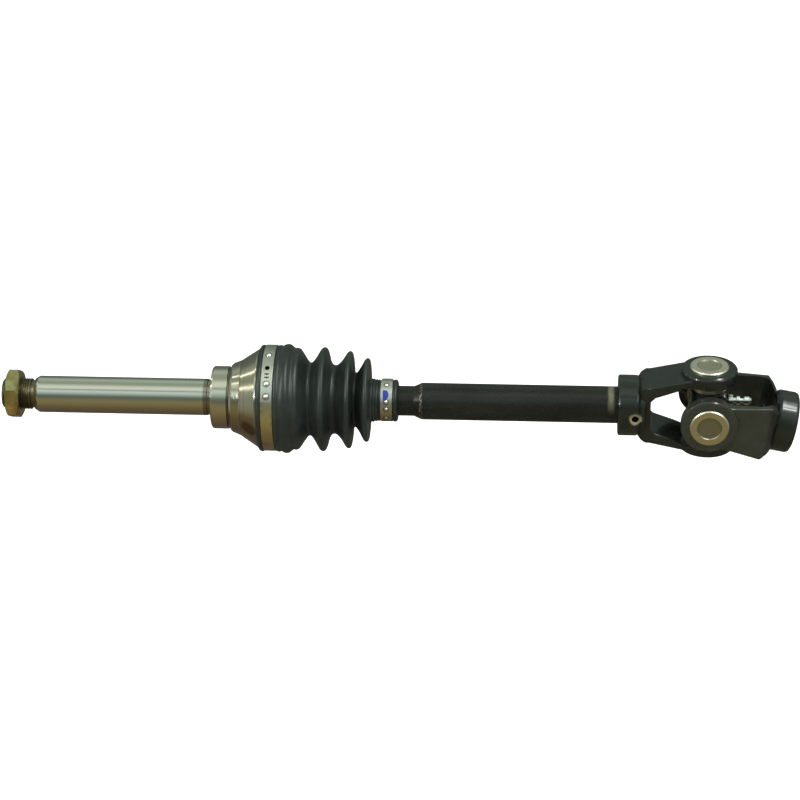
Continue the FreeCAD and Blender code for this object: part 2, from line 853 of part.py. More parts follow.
def make_output_yoke():
    """Splined hub, bridge and two arms, front and rear, that widen towards the hub and carry
    bored round ears."""
    inner = S["ear_inner"]
    end = S["output_hub_end"]
    profile = [
        (48.0, 17.5),
        (44.6, 22.8),
        (41.0, 26.0),
        (10.0, 28.9),
        (0, 28.9),
        (0, inner),
        (33.0, inner),
        (38.0, 20.8),
        (42.0, 17.5),
        (44.5, 11.0),
    ]
    half = S["plate_half"]
    widths = [
        (0, half),
        (14.0, half),
        (40.0, half + 4.0),
        (44.0, half + 1.0),
        (48.0, half - 3.5),
    ]
    arms = make_arms("output_yoke", profile, widths, "XY_Plane", "XZ_Plane")
    soft = rounded("output_yoke_soft", arms, 1.6, is_long_plate_edge)
    radius = S["output_hub_radius"]
    hub = turned(
        "output_yoke_hub",
        [
            (45.0, 0),
            (45.0, radius - 3.0),
            (47.0, radius - 0.6),
            (48.5, radius),
            (end - 2.4, radius),
            (end - 0.8, radius - 0.7),
            (end, radius - 2.4),
            (end, 0),
        ],
    )
    body = fused("output_yoke_body", [soft, hub] + make_ears("output_yoke", ("front", "rear")))
    tools = [
        primitive(
            "Cylinder",
            "output_spline_bore",
            along_x(30.0),
            Radius=S["spline_bore"],
            Height=40.0,
        ),
        primitive(
            "Cylinder",
            "output_pilot",
            along_x(end - S["pilot_depth"]),
            Radius=S["pilot_radius"],
            Height=S["pilot_depth"] + 1.0,
        ),
        primitive(
            "Cylinder",
            "output_ear_bores",
            Placement(Vector(0, 40, 0), Rotation(X_AXIS, 90)),
            Radius=S["cup_radius"] + 0.02,
            Height=80.0,
        ),
    ]
    for number in range(SPLINE_COUNT):
        groove = primitive(
            "Box",
            f"output_spline_{number + 1}",
            Length=40.0,
            Width=1.5,
            Height=S["spline_bore"] + 1.0,
        )
        turn = Rotation(X_AXIS, number * 360 / SPLINE_COUNT)
        groove.Placement = Placement(Vector(30, 0, 0) + turn.multVec(Vector(0, -0.75, 0)), turn)
        tools.append(groove)
    yoke = boolean("Cut", "output_yoke", body, fused("output_yoke_cuts", tools))
    yoke.Placement = at_cross(Rotation(Y_AXIS, S["output_tilt"].value))
    return yoke


def is_long_plate_edge(middle):
    """The outside edges along the arms of the output yoke, on both its faces."""
    at_edge = abs(middle.z) > S["plate_half"].value - 0.05
    return at_edge and 3 < middle.x < 49 and abs(middle.y) > 23.5


def make_cross():
    """Two crossed bars with ground trunnions, a round middle and a boss for the nipple."""
    bar = [
        (0, -S["trunnion_end"]),
        (S["trunnion_radius"] - 0.6, -S["trunnion_end"]),
        (S["trunnion_radius"], -S["trunnion_end"] + 0.8),
        (S["trunnion_radius"], -14.5),
        (12.0, -14.5),
        (12.6, -13.9),
        (12.6, 13.9),
        (12.0, 14.5),
        (S["trunnion_radius"], 14.5),
        (S["trunnion_radius"], S["trunnion_end"] - 0.8),
        (S["trunnion_radius"] - 0.6, S["trunnion_end"]),
        (0, S["trunnion_end"]),
    ]
    upright = turned("cross_upright", bar, about="Z")
    level = turned(
        "cross_level", bar, about="Z", place=Placement(Vector(), TRUNNIONS["front"])
    )
    middle = primitive("Sphere", "cross_middle", Radius=13.6)
    height = Vector(8, 0, S["nipple_height"].value)
    boss = primitive(
        "Cylinder",
        "cross_boss",
        Placement(height, Rotation(Y_AXIS, 90)),
        Radius=5.0,
        Height=6.2,
    )
    solid = fused("cross_body", [upright, level, middle, boss])
    hole = primitive(
        "Cylinder",
        "cross_nipple_hole",
        Placement(height + Vector(3.4, 0, 0), Rotation(Y_AXIS, 90)),
        Radius=2.95,
        Height=10.0,
    )
    cross = boolean("Cut", "cross_spider", solid, hole)
    cross.Placement = at_cross()
    return cross


def make_nipple():
    """Grease nipple: thread, hex, neck, collar and ball head."""
    place = at_cross()
    place.Base = place.Base + Vector(0, 0, S["nipple_height"].value)
    return turned(
        "grease_nipple",
        [
            (11.6, 0),
            (11.6, 2.9),
            (14.25, 2.9),
            (14.25, 4.2),
            (17.2, 4.2),
            (17.2, 2.1),
            (19.4, 2.1),
            (19.8, 3.2),
            (22.0, 3.2),
            (22.4, 1.8),
            (24.2, 1.8),
            (25.2, 3.0),
            (28.4, 3.0),
            (30.0, 1.8),
            (30.0, 0),
        ],
        place=place,
    )


def make_cup(side, turn):
    """Closed bearing cup with a groove for its snap ring and a shallow dish in its face."""
    face = S["cup_face"]
    radius = S["cup_radius"]
    inner = S["ear_inner"]
    return turned(
        f"bearing_cup_{side}",
        [
            (0, S["cup_floor"]),
            (S["cup_bore"], S["cup_floor"]),
            (S["cup_bore"], S["cup_mouth"]),
            (radius - 0.6, S["cup_mouth"]),
            (radius, S["cup_mouth"] + 0.6),
            (radius, inner - 1.6),
            (radius - 0.8, inner - 1.6),
            (radius - 0.8, inner),
            (radius, inner),
            (radius, face - 0.7),
            (radius - 0.7, face),
            (8.5, face),
            (8.0, face - 0.8),
            (0, face - 0.8),
        ],
        about="Z",
        place=at_cross(turn),
    )


def make_snap_ring(side, turn):
    """Open ring in the cup's groove, against the inner face of the ear."""
    inner = S["ear_inner"]
    radius = S["cup_radius"]
    gap_turn = turn * Rotation(Z_AXIS, 35)
    return turned(
        f"snap_ring_{side}",
        [
            (radius - 0.75, inner - 1.5),
            (radius + 2.1, inner - 1.5),
            (radius + 2.1, inner - 0.03),
            (radius - 0.75, inner - 0.03),
        ],
        about="Z",
        angle=290.0,
        place=at_cross(gap_turn),
    )


def make_thrust_washer(side, turn):
    """Washer between the trunnion's end and the floor of its cup."""
    floor = S["cup_floor"]
    return turned(
        f"thrust_washer_{side}",
        [(1.5, floor - 0.78), (7.6, floor - 0.78), (7.6, floor - 0.02), (1.5, floor - 0.02)],
        about="Z",
        place=at_cross(turn),
    )


def make_seal(side, turn):
    """Rubber ring on the shoulder of the cross, just inside the cup's mouth."""
    root = S["trunnion_radius"] + 0.03
    mouth = S["cup_mouth"]
    return turned(
        f"cup_seal_{side}",
        [
            (root, 14.52),
            (11.9, 14.52),
            (12.4, mouth - 1.1),
            (12.4, mouth - 0.3),
            (root, mouth - 0.3),
        ],
        about="Z",
        place=at_cross(turn),
    )


def make_needles(side, turn):
    """A full row of loose needle rollers, as separate solids in one group."""
    pitch = S["trunnion_radius"].value + S["needle_radius"].value + 0.05
    needles = []
    for number in range(NEEDLE_COUNT):
        angle = math.radians(number * 360 / NEEDLE_COUNT)
        foot = Vector(pitch * math.cos(angle), pitch * math.sin(angle), 16.9)
        place = at_cross(turn).multiply(Placement(foot, Rotation()))
        needles.append(
            primitive(
                "Cylinder",
                f"needle_{side}_{number + 1}",
                place,
                Radius=S["needle_radius"],
                Height=11.3,
            )
        )
    group = doc.addObject("Part::Compound", f"needle_rollers_{side}")
    group.Links = needles
    return group


def make_joint_bearings():
    """Cup, needles, thrust washer, snap ring and seal for each of the four trunnions."""
    pieces = []
    for side, turn in TRUNNIONS.items():
        pieces.append(make_cup(side, turn))
        pieces.append(make_needles(side, turn))
        pieces.append(make_thrust_washer(side, turn))
        pieces.append(make_snap_ring(side, turn))
        pieces.append(make_seal(side, turn))
    return pieces


# ---------------------------------------------------------------- checks and files


def failed_features():
    """Names of every feature that didn't compute."""
    return [
        feature.Name
        for feature in doc.Objects
        if any(state in ("Invalid", "Error") for state in feature.State)
    ]


def check_piece(piece):
    shape = piece.Shape
    if shape.isNull() or not shape.isValid() or shape.Volume <= 0:
        raise RuntimeError(f"{piece.Label} has no valid solid")


def write_pieces(pieces):
    os.makedirs("parts", exist_ok=True)
    for piece in pieces:
        piece.Shape.exportStep(f"parts/{piece.Label}.step")
        solids = len(piece.Shape.Solids)
        print(f"{piece.Label}: {solids} solid(s), {piece.Shape.Volume / 1000:.2f} cm3")


def main():
    pieces = [
        make_axle_nut(),
        make_stub_outer_race(),
        make_ball_cage(),
        make_inner_race(),
        make_boot(),
        make_large_clamp(),
        make_small_clamp(),
        make_axle_shaft(),
        make_roll_pin(),
        make_shaft_yoke(),
        make_cross(),
        make_nipple(),
        make_output_yoke(),
    ]
    pieces += make_balls()
    pieces += make_shaft_rings()
    pieces += make_joint_bearings()
    doc.recompute()
    bad = failed_features()
    if bad:
        raise RuntimeError(f"features that failed: {bad}")
    for piece in pieces:
        check_piece(piece)
    write_pieces(pieces)


main()
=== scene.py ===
"""Looks of the half axle: a booted ball joint on a bright wheel stub, a black bar, and a black
universal joint, on a plain pale floor under soft light. Metres, in the frame of the CAD model:
the X axis is the axle's own axis, +Z is up."""

import math

import bmesh
import bpy
from mathutils import Matrix, Vector


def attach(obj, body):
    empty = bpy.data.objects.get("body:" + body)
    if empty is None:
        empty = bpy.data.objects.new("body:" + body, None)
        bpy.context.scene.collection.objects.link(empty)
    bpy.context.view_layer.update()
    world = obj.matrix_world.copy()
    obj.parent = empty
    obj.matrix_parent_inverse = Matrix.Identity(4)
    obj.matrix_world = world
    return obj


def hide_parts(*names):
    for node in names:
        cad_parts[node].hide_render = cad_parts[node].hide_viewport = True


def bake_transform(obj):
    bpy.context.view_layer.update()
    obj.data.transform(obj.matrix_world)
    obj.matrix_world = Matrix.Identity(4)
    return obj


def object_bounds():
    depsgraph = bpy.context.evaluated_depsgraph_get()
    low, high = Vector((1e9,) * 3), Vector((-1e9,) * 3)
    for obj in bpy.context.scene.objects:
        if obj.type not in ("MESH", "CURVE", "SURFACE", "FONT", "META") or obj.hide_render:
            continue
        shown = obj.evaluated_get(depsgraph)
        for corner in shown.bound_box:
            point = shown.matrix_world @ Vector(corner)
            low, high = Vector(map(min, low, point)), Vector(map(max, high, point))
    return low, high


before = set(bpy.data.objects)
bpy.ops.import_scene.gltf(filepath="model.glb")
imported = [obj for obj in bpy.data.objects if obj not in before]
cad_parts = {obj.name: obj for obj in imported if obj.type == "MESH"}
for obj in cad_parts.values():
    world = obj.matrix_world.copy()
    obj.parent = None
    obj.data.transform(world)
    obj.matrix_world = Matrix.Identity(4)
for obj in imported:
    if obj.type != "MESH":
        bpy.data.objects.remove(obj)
CAD_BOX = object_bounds()

MM = 0.001
DEGREES = 57.2958

# Places along the axle, in millimetres from the bearing shoulder.
THREAD_EDGE = (-126.0, -127.2)
RELIEF = (-126.5, -124.4)
JOURNAL_ROOT = (-6.0, 0.2)
COLLAR_END = 12.0
LARGE_CLAMP_X = 41.5
SMALL_CLAMP_X = 119.2
SMALL_DOMES_X = SMALL_CLAMP_X + 4.1
BAR_STEP = (147.4, 149.0)
BARE_RING = (279.2, 282.8)
HUB_START = 285.0
PIN_X = 296.8
CROSS_X = 347.6
ARMS_END = (392.0, 386.0)
OUTPUT_RIM = (404.0, 408.0)

# Radii, in millimetres.
COLLAR_ROOT_RADIUS = (21.6, 20.6)
LARGE_CLAMP_RADIUS = 37.2
SMALL_CLAMP_RADIUS = 14.78
SPLINE_END_RADIUS = (9.7, 9.6)
HUB_SKIN_RADIUS = (20.0, 20.7)
CUP_DISH_RADIUS = (8.5, 8.1)
CUP_DISH_EDGE = (8.0, 8.6)

# The bent axle reaches about 0.24 m under the box it has at rest.
FLOOR_DROP = 0.28

# The boot's skin, as (x, radius) in millimetres: every fold has a long left flank and a steep
# right one. The outside runs from the bell to the shaft, the inside back again.
BOOT_OUTSIDE = [
    (33.6, 35.2),
    (33.9, 36.6),
    (35.2, 37.7),
    (36.6, 37.6),
    (37.3, 36.9),
    (37.5, 36.4),
    (41.5, 36.4),
    (45.5, 36.4),
    (45.8, 36.9),
    (46.6, 37.6),
    (48.3, 37.7),
    (49.3, 37.3),
    (50.2, 37.8),
    (51.6, 38.4),
    (53.6, 38.6),
    (55.2, 38.0),
    (56.5, 36.9),
    (57.5, 36.2),
    (58.3, 35.9),
    (59.3, 36.1),
    (60.8, 35.8),
    (62.2, 34.7),
    (65.2, 30.2),
    (67.7, 26.7),
    (69.1, 25.9),
    (70.6, 26.5),
    (73.0, 29.6),
    (75.0, 33.0),
    (76.4, 35.3),
    (77.8, 36.6),
    (79.4, 36.7),
    (80.7, 35.5),
    (81.7, 32.6),
    (82.8, 28.4),
    (84.5, 25.2),
    (86.6, 24.3),
    (88.3, 24.8),
    (91.2, 27.7),
    (93.5, 31.2),
    (95.0, 33.4),
    (96.2, 34.3),
    (97.5, 34.2),
    (98.4, 33.0),
    (98.8, 29.8),
    (99.1, 25.2),
    (99.7, 21.2),
    (100.6, 19.6),
    (101.8, 19.6),
    (104.0, 22.6),
    (106.0, 26.2),
    (107.3, 28.5),
    (108.5, 29.5),
    (109.9, 29.4),
    (110.7, 28.2),
    (111.0, 25.0),
    (111.2, 20.2),
    (111.7, 16.6),
    (112.5, 15.3),
    (113.3, 15.1),
    (114.1, 15.4),
    (114.7, 14.8),
    (115.3, 14.6),
    (115.9, 15.0),
    (116.5, 14.6),
    (117.1, 14.4),
    (117.7, 14.8),
    (118.3, 14.4),
    (119.1, 14.2),
    (123.3, 14.2),
    (127.5, 14.2),
    (128.0, 14.7),
    (129.6, 14.9),
    (130.5, 14.4),
    (131.0, 13.4),
]
BOOT_INSIDE = [
    (131.0, 10.72),
    (114.4, 10.72),
    (111.9, 13.2),
    (109.6, 19.5),
    (107.6, 25.4),
    (104.0, 20.4),
    (100.6, 16.6),
    (98.3, 21.5),
    (95.6, 30.8),
    (91.0, 25.4),
    (86.6, 21.6),
    (82.4, 25.6),
    (78.4, 33.6),
    (73.8, 28.0),
    (69.0, 23.2),
    (64.4, 27.6),
    (60.4, 33.0),
    (56.4, 33.95),
    (45.0, 33.9),
    (33.6, 33.88),
]


# ---------------------------------------------------------------- shader helpers


class Shader:
    """A Principled material and the few node recipes that the surfaces share."""

    def __init__(self, name, metallic, roughness, specular=0.5, coat=0.0):
        self.material = bpy.data.materials.new(name)
        self.material.use_nodes = True
        self.tree = self.material.node_tree
        self.bsdf = self.tree.nodes["Principled BSDF"]
        self.bsdf.inputs["Metallic"].default_value = metallic
        self.bsdf.inputs["Roughness"].default_value = roughness
        self.bsdf.inputs["Specular IOR Level"].default_value = specular
        self.bsdf.inputs["Coat Weight"].default_value = coat
        self.bsdf.inputs["Coat Roughness"].default_value = 0.12
        coordinates = self.tree.nodes.new("ShaderNodeTexCoord")
        self.place = coordinates.outputs["Object"]
        split = self.tree.nodes.new("ShaderNodeSeparateXYZ")
        self.link(self.place, split.inputs[0])
        self.x, self.y, self.z = split.outputs

    def link(self, source, target):
        self.tree.links.new(source, target)

    def put(self, source, socket):
        """Drives one socket of the surface shader."""
        self.link(source, self.bsdf.inputs[socket])

    def maths(self, operation, a, b=0.0, c=0.0, clamp=False):
        node = self.tree.nodes.new("ShaderNodeMath")
        node.operation = operation
        node.use_clamp = clamp
        for socket, value in zip(node.inputs, (a, b, c)):
            if isinstance(value, (int, float)):
                socket.default_value = value
            else:
                self.link(value, socket)
        return node.outputs[0]

    def times(self, a, b):
        return self.maths("MULTIPLY", a, b)

    def plus(self, a, b):
        return self.maths("ADD", a, b)

    def noise(self, scale, detail=4.0, rough=0.55, along=None, stretch=None):
        """Noise in space, or along one coordinate for turning marks. Scale is in 1/metre."""
        node = self.tree.nodes.new("ShaderNodeTexNoise")
        node.inputs["Scale"].default_value = scale
        node.inputs["Detail"].default_value = detail
        node.inputs["Roughness"].default_value = rough
        if along is not None:
            node.noise_dimensions = "1D"
            self.link(along, node.inputs["W"])
        elif stretch is not None:
            mapping = self.tree.nodes.new("ShaderNodeMapping")
            mapping.inputs["Scale"].default_value = stretch
            self.link(self.place, mapping.inputs["Vector"])
            self.link(mapping.outputs[0], node.inputs["Vector"])
        else:
            self.link(self.place, node.inputs["Vector"])
        return node.outputs["Fac"]

    def step(self, value, low, high):
        """0 below low, 1 above high, smooth between."""
        node = self.tree.nodes.new("ShaderNodeMapRange")
        node.interpolation_type = "SMOOTHSTEP"
        node.inputs["From Min"].default_value = low
        node.inputs["From Max"].default_value = high
        self.link(value, node.inputs["Value"])
        return node.outputs["Result"]

    def step_mm(self, value, edge):
        """The same, with the edge's two ends in millimetres."""
        return self.step(value, edge[0] * MM, edge[1] * MM)

    def band(self, value, low, high, soft):
        """1 between low and high, 0 outside."""
        rise = self.step(value, low - soft, low + soft)
        fall = self.step(value, high - soft, high + soft)
        return self.maths("SUBTRACT", rise, fall, clamp=True)

    def band_mm(self, value, ends, soft):
        """The same, in millimetres."""
        return self.band(value, ends[0] * MM, ends[1] * MM, soft * MM)

    def span(self, value, low, high):
        """A 0 to 1 value spread over a range."""
        node = self.tree.nodes.new("ShaderNodeMapRange")
        node.inputs["To Min"].default_value = low
        node.inputs["To Max"].default_value = high
        self.link(value, node.inputs["Value"])
        return node.outputs["Result"]

    def blend(self, factor, first, second):
        """Mixes two colours, each a tuple or a socket."""
        node = self.tree.nodes.new("ShaderNodeMix")
        node.data_type = "RGBA"
        if isinstance(factor, (int, float)):
            node.inputs[0].default_value = factor
        else:
            self.link(factor, node.inputs[0])
        for socket, value in ((node.inputs[6], first), (node.inputs[7], second)):
            if isinstance(value, tuple):
                socket.default_value = (*value, 1.0)
            else:
                self.link(value, socket)
        return node.outputs[2]

    def bump(self, height, strength, distance):
        node = self.tree.nodes.new("ShaderNodeBump")
        node.inputs["Strength"].default_value = strength
        node.inputs["Distance"].default_value = distance
        self.link(height, node.inputs["Height"])
        self.put(node.outputs[0], "Normal")

    def turn_about_axle(self):
        """Angle round the axle in degrees, 0 to the front and 90 on top."""
        front = self.times(self.y, -1.0)
        return self.times(self.maths("ARCTAN2", self.z, front), DEGREES)

    def reach(self, turn, place_x, elevation, radius):
        """Distance over a cylinder's skin from a point on it, in metres."""
        along = self.maths("SUBTRACT", self.x, place_x * MM)
        around = self.times(self.maths("SUBTRACT", turn, elevation), radius * MM / DEGREES)
        return self.length(along, around)

    def length(self, first, second):
        """Length of a flat vector."""
        return self.maths("SQRT", self.plus(self.times(first, first), self.times(second, second)))

    def radius_about(self, axis):
        """Distance from the axle, or from the cross's upright or level pin's own axis."""
        if axis == "axle":
            first, second = self.y, self.z
        else:
            first = self.maths("SUBTRACT", self.x, CROSS_X * MM)
            second = self.y if axis == "upright" else self.z
        return self.length(first, second)


# ---------------------------------------------------------------- surfaces


def stub_steel():
    """Bright ground journal, coarser turned collar and cone, olive-stained thread."""
    s = Shader("stub_steel", 1.0, 0.18)
    turned = s.step_mm(s.x, (-0.5, 0.5))
    cone = s.step_mm(s.x, (COLLAR_END + 0.8, COLLAR_END + 1.8))
    thread = s.step_mm(s.x, THREAD_EDGE)
    turn = s.turn_about_axle()
    fine = s.noise(5200.0, detail=3.0, along=s.x)
    coarse = s.noise(1500.0, detail=5.0, rough=0.7, along=s.x)
    ridges = s.noise(620.0, detail=3.0, rough=0.6, along=s.x)
    patches = s.noise(48.0, detail=6.0, rough=0.65, stretch=(0.35, 1.0, 1.0))
    stain = s.step(patches, 0.58, 0.8)
    colour = s.blend(fine, (0.56, 0.55, 0.50), (0.68, 0.67, 0.62))
    colour = s.blend(s.times(coarse, turned), colour, (0.62, 0.58, 0.47))
    colour = s.blend(s.times(stain, 0.4), colour, (0.34, 0.29, 0.20))
    colour = s.blend(s.times(cone, 0.5), colour, (0.36, 0.33, 0.24))
    dark_rings = s.times(s.step(ridges, 0.52, 0.66), s.times(cone, 0.3))
    colour = s.blend(dark_rings, colour, (0.30, 0.25, 0.15))
    # Painted reflection: a dark brown oval low on the front of the cone.
    dark_reflection_reach = s.reach(turn, place_x=28.0, elevation=-14.0, radius=31.0)
    dark_reflection_reach = s.plus(dark_reflection_reach, s.times(s.noise(160.0, detail=4.0), 5.0 * MM))
    painted_dark_reflection = s.times(s.step_mm(dark_reflection_reach, (9.6, 6.4)), 0.72)
    colour = s.blend(painted_dark_reflection, colour, (0.15, 0.09, 0.045))
    root = s.band_mm(s.x, JOURNAL_ROOT, 0.5)
    inside = s.step_mm(s.radius_about("axle"), COLLAR_ROOT_RADIUS)
    shade = s.times(s.times(root, inside), 0.65)
    colour = s.blend(shade, colour, (0.16, 0.14, 0.09))
    # Painted shade in the groove between the collar and the cone.
    groove_shade = s.band_mm(s.x, (COLLAR_END, COLLAR_END + 1.3), 0.25)
    colour = s.blend(s.times(groove_shade, 0.8), colour, (0.10, 0.09, 0.05))
    # Painted shade in the relief groove beside the thread.
    relief_shade = s.band_mm(s.x, RELIEF, 0.4)
    colour = s.blend(s.times(relief_shade, 0.55), colour, (0.16, 0.14, 0.09))
    colour = s.blend(thread, colour, s.blend(patches, (0.12, 0.10, 0.065), (0.26, 0.23, 0.15)))
    s.put(colour, "Base Color")
    rough = s.span(fine, 0.09, 0.15)
    rough = s.plus(rough, s.times(turned, s.span(coarse, -0.02, 0.05)))
    rough = s.plus(rough, s.times(stain, 0.12))
    rough = s.plus(rough, s.times(thread, 0.18))
    s.put(rough, "Roughness")
    wavy = s.noise(26.0, detail=3.0, stretch=(6.0, 1.0, 1.0))
    marks = s.times(coarse, s.span(turned, 0.08, 0.3))
    marks = s.plus(marks, s.times(s.times(ridges, cone), 0.5))
    marks = s.plus(marks, s.times(s.times(wavy, cone), 2.4))
    s.bump(s.plus(marks, s.times(fine, 0.25)), 0.22, 0.05 * MM)
    return s.material


def nut_zinc():
    """Yellow zinc plate, uneven, with darker specks."""
    s = Shader("nut_zinc", 1.0, 0.3)
    clouds = s.noise(140.0, detail=6.0, rough=0.65)
    grain = s.noise(2600.0, detail=3.0)
    # Painted reflection: golden and brighter on the nut's lower side, olive on its upper side.
    high = s.step_mm(s.z, (-6.0, 8.0))
    warm = s.blend(high, (0.78, 0.62, 0.28), (0.52, 0.50, 0.27))
    colour = s.blend(s.step(clouds, 0.35, 0.65), (0.40, 0.33, 0.15), warm)
    colour = s.blend(s.step(grain, 0.62, 0.8), colour, (0.28, 0.22, 0.11))
    s.put(colour, "Base Color")
    s.put(s.span(clouds, 0.2, 0.4), "Roughness")
    s.bump(s.plus(grain, clouds), 0.25, 0.06 * MM)
    return s.material


def boot_rubber():
    """Black moulded rubber with a soft bloom, faint mould lines, a fine orange peel and a painted
    sheen in streaks on its upper side.
    """
    s = Shader("boot_rubber", 0.0, 0.36, specular=0.42)
    bloom = s.noise(38.0, detail=5.0, rough=0.6)
    dust = s.noise(900.0, detail=4.0, rough=0.7)
    rings = s.noise(1300.0, detail=3.0, along=s.x)
    sheen_streaks = s.noise(30.0, detail=4.0, stretch=(9.0, 1.0, 1.0))
    colour = s.blend(s.step(bloom, 0.4, 0.75), (0.009, 0.012, 0.010), (0.017, 0.022, 0.019))
    # Painted sheen: paler streaks round the boot, only on its upper side.
    high = s.step_mm(s.z, (-8.0, 26.0))
    painted_sheen = s.times(s.times(high, s.step(sheen_streaks, 0.42, 0.72)), 0.28)
    colour = s.blend(painted_sheen, colour, (0.035, 0.05, 0.042))
    colour = s.blend(s.times(s.step(dust, 0.66, 0.8), 0.3), colour, (0.06, 0.065, 0.055))
    s.put(colour, "Base Color")
    rough = s.plus(s.span(bloom, 0.24, 0.42), s.times(rings, 0.08))
    s.put(rough, "Roughness")
    height = s.plus(s.times(rings, 0.7), s.times(dust, 0.5))
    s.bump(height, 0.3, 0.06 * MM)
    return s.material


def band_steel(name, place_x, radius, domes, dome, tail, holes):
    """Rolled clamp strip: fine lines around the band and a duller lapped end. Each pressed dome
    has a painted highlight on its top and painted shade in a dark ring round its foot, and the
    holes are painted dark as shade. domes are angles and holes (angle, radius), in degrees round
    the axle from the front; dome is a dome's radius, and tail the lap's two ends."""
    s = Shader(name, 1.0, 0.3)
    turn = s.turn_about_axle()
    lines = s.noise(6500.0, detail=2.0, along=s.x)
    clouds = s.noise(120.0, detail=5.0)
    lap = s.band(turn, *tail, 0.6)
    golden = s.blend(lines, (0.62, 0.57, 0.38), (0.80, 0.75, 0.55))
    grey = s.blend(lines, (0.48, 0.49, 0.44), (0.62, 0.62, 0.57))
    colour = s.blend(lap, golden, grey)
    colour = s.blend(s.step(clouds, 0.52, 0.75), colour, (0.42, 0.38, 0.26))
    rough = s.plus(s.span(clouds, 0.2, 0.34), s.times(lap, 0.1))
    for elevation in domes:
        away = s.reach(turn, place_x, elevation, radius)
        # Painted shade: a dark ring round the dome's foot.
        outline = s.band_mm(away, (dome, dome + 0.55), 0.15)
        colour = s.blend(s.times(outline, 0.8), colour, (0.09, 0.08, 0.06))
        # Painted highlight: the dome's top is coloured nearly white.
        top = s.step_mm(away, (dome * 0.95, dome * 0.6))
        colour = s.blend(top, colour, (0.92, 0.93, 0.90))
    # Painted shade: each hole and slot is coloured near black.
    for elevation, size in holes:
        away = s.reach(turn, place_x, elevation, radius)
        colour = s.blend(s.step_mm(away, (size + 0.2, size)), colour, (0.008, 0.008, 0.008))
    s.put(colour, "Base Color")
    s.put(rough, "Roughness")
    s.bump(lines, 0.2, 0.03 * MM)
    return s.material


def bar_paint():
    """Satin black paint, scuffed at the step, with a bare turned ring beside the yoke that is
    painted only on the bar's upper side as a highlight.
    """
    s = Shader("bar_paint", 0.0, 0.34, specular=0.3)
    peel = s.noise(1400.0, detail=3.0)
    streaks = s.noise(60.0, detail=6.0, rough=0.7, stretch=(0.25, 1.0, 1.0))
    paint = s.blend(s.step(streaks, 0.35, 0.75), (0.0045, 0.005, 0.0045), (0.010, 0.011, 0.009))
    ragged = s.times(s.noise(420.0, detail=5.0), 1.6 * MM)
    edge = s.plus(s.x, ragged)
    # The bare turned ring is real; keeping it to the bar's upper side is a painted highlight.
    high = s.step_mm(s.z, (-2.0, 12.0))
    bare_ring_and_highlight = s.times(s.band_mm(edge, BARE_RING, 1.2), high)
    bare_ring_and_highlight = s.times(bare_ring_and_highlight, s.span(s.noise(260.0, detail=5.0), 0.2, 0.75))
    ends = s.step_mm(s.radius_about("axle"), SPLINE_END_RADIUS)
    scuffed = s.band_mm(edge, BAR_STEP, 0.4)
    scuff = s.times(scuffed, s.step(s.noise(700.0, detail=4.0), 0.5, 0.6))
    bare = s.maths("MAXIMUM", s.maths("MAXIMUM", bare_ring_and_highlight, ends), s.times(scuff, 0.5))
    turning = s.noise(3200.0, detail=4.0, along=s.x)
    metal = s.blend(turning, (0.20, 0.17, 0.09), (0.44, 0.40, 0.26))
    s.put(s.blend(bare, paint, metal), "Base Color")
    s.put(s.times(bare, 0.85), "Metallic")
    rough = s.blend(bare, (0.24, 0.24, 0.24), (0.3, 0.3, 0.3))
    s.put(s.plus(rough, s.times(peel, 0.08)), "Roughness")
    s.bump(s.plus(peel, s.times(turning, bare)), 0.25, 0.06 * MM)
    return s.material


def yoke_enamel(name, bare_mask, olive=(0.004, 0.005, 0.004)):
    """Thick gloss black enamel over a forging: orange peel, soft lumps, bare steel where
    bare_mask says that the paint was machined or worn away. olive is the colour on the arms, left
    of the output hub; where it is lighter and browner than the hub, it is a painted reflection."""
    s = Shader(name, 0.0, 0.2, specular=0.3, coat=0.4)
    s.bsdf.inputs["Coat Roughness"].default_value = 0.05
    lumps = s.noise(190.0, detail=3.0)
    peel = s.noise(1100.0, detail=3.0)
    cast = s.noise(70.0, detail=5.0)
    paint = s.blend(cast, (0.004, 0.005, 0.004), (0.010, 0.012, 0.009))
    # The arms take the olive colour; an olive lighter than the hub's paint is a painted
    # reflection.
    arms = s.step_mm(s.x, ARMS_END)
    paint = s.blend(arms, paint, s.blend(cast, olive, tuple(2.4 * c for c in olive)))
    bare = bare_mask(s)
    scratches = s.noise(2400.0, detail=5.0, rough=0.7)
    metal = s.blend(scratches, (0.34, 0.27, 0.14), (0.70, 0.60, 0.38))
    s.put(s.blend(bare, paint, metal), "Base Color")
    s.put(s.times(bare, 0.8), "Metallic")
    rough = s.plus(s.span(cast, 0.14, 0.3), s.times(bare, 0.14))
    s.put(rough, "Roughness")
    s.bump(s.plus(lumps, s.times(peel, 0.25)), 0.4, 0.14 * MM)
    return s.material


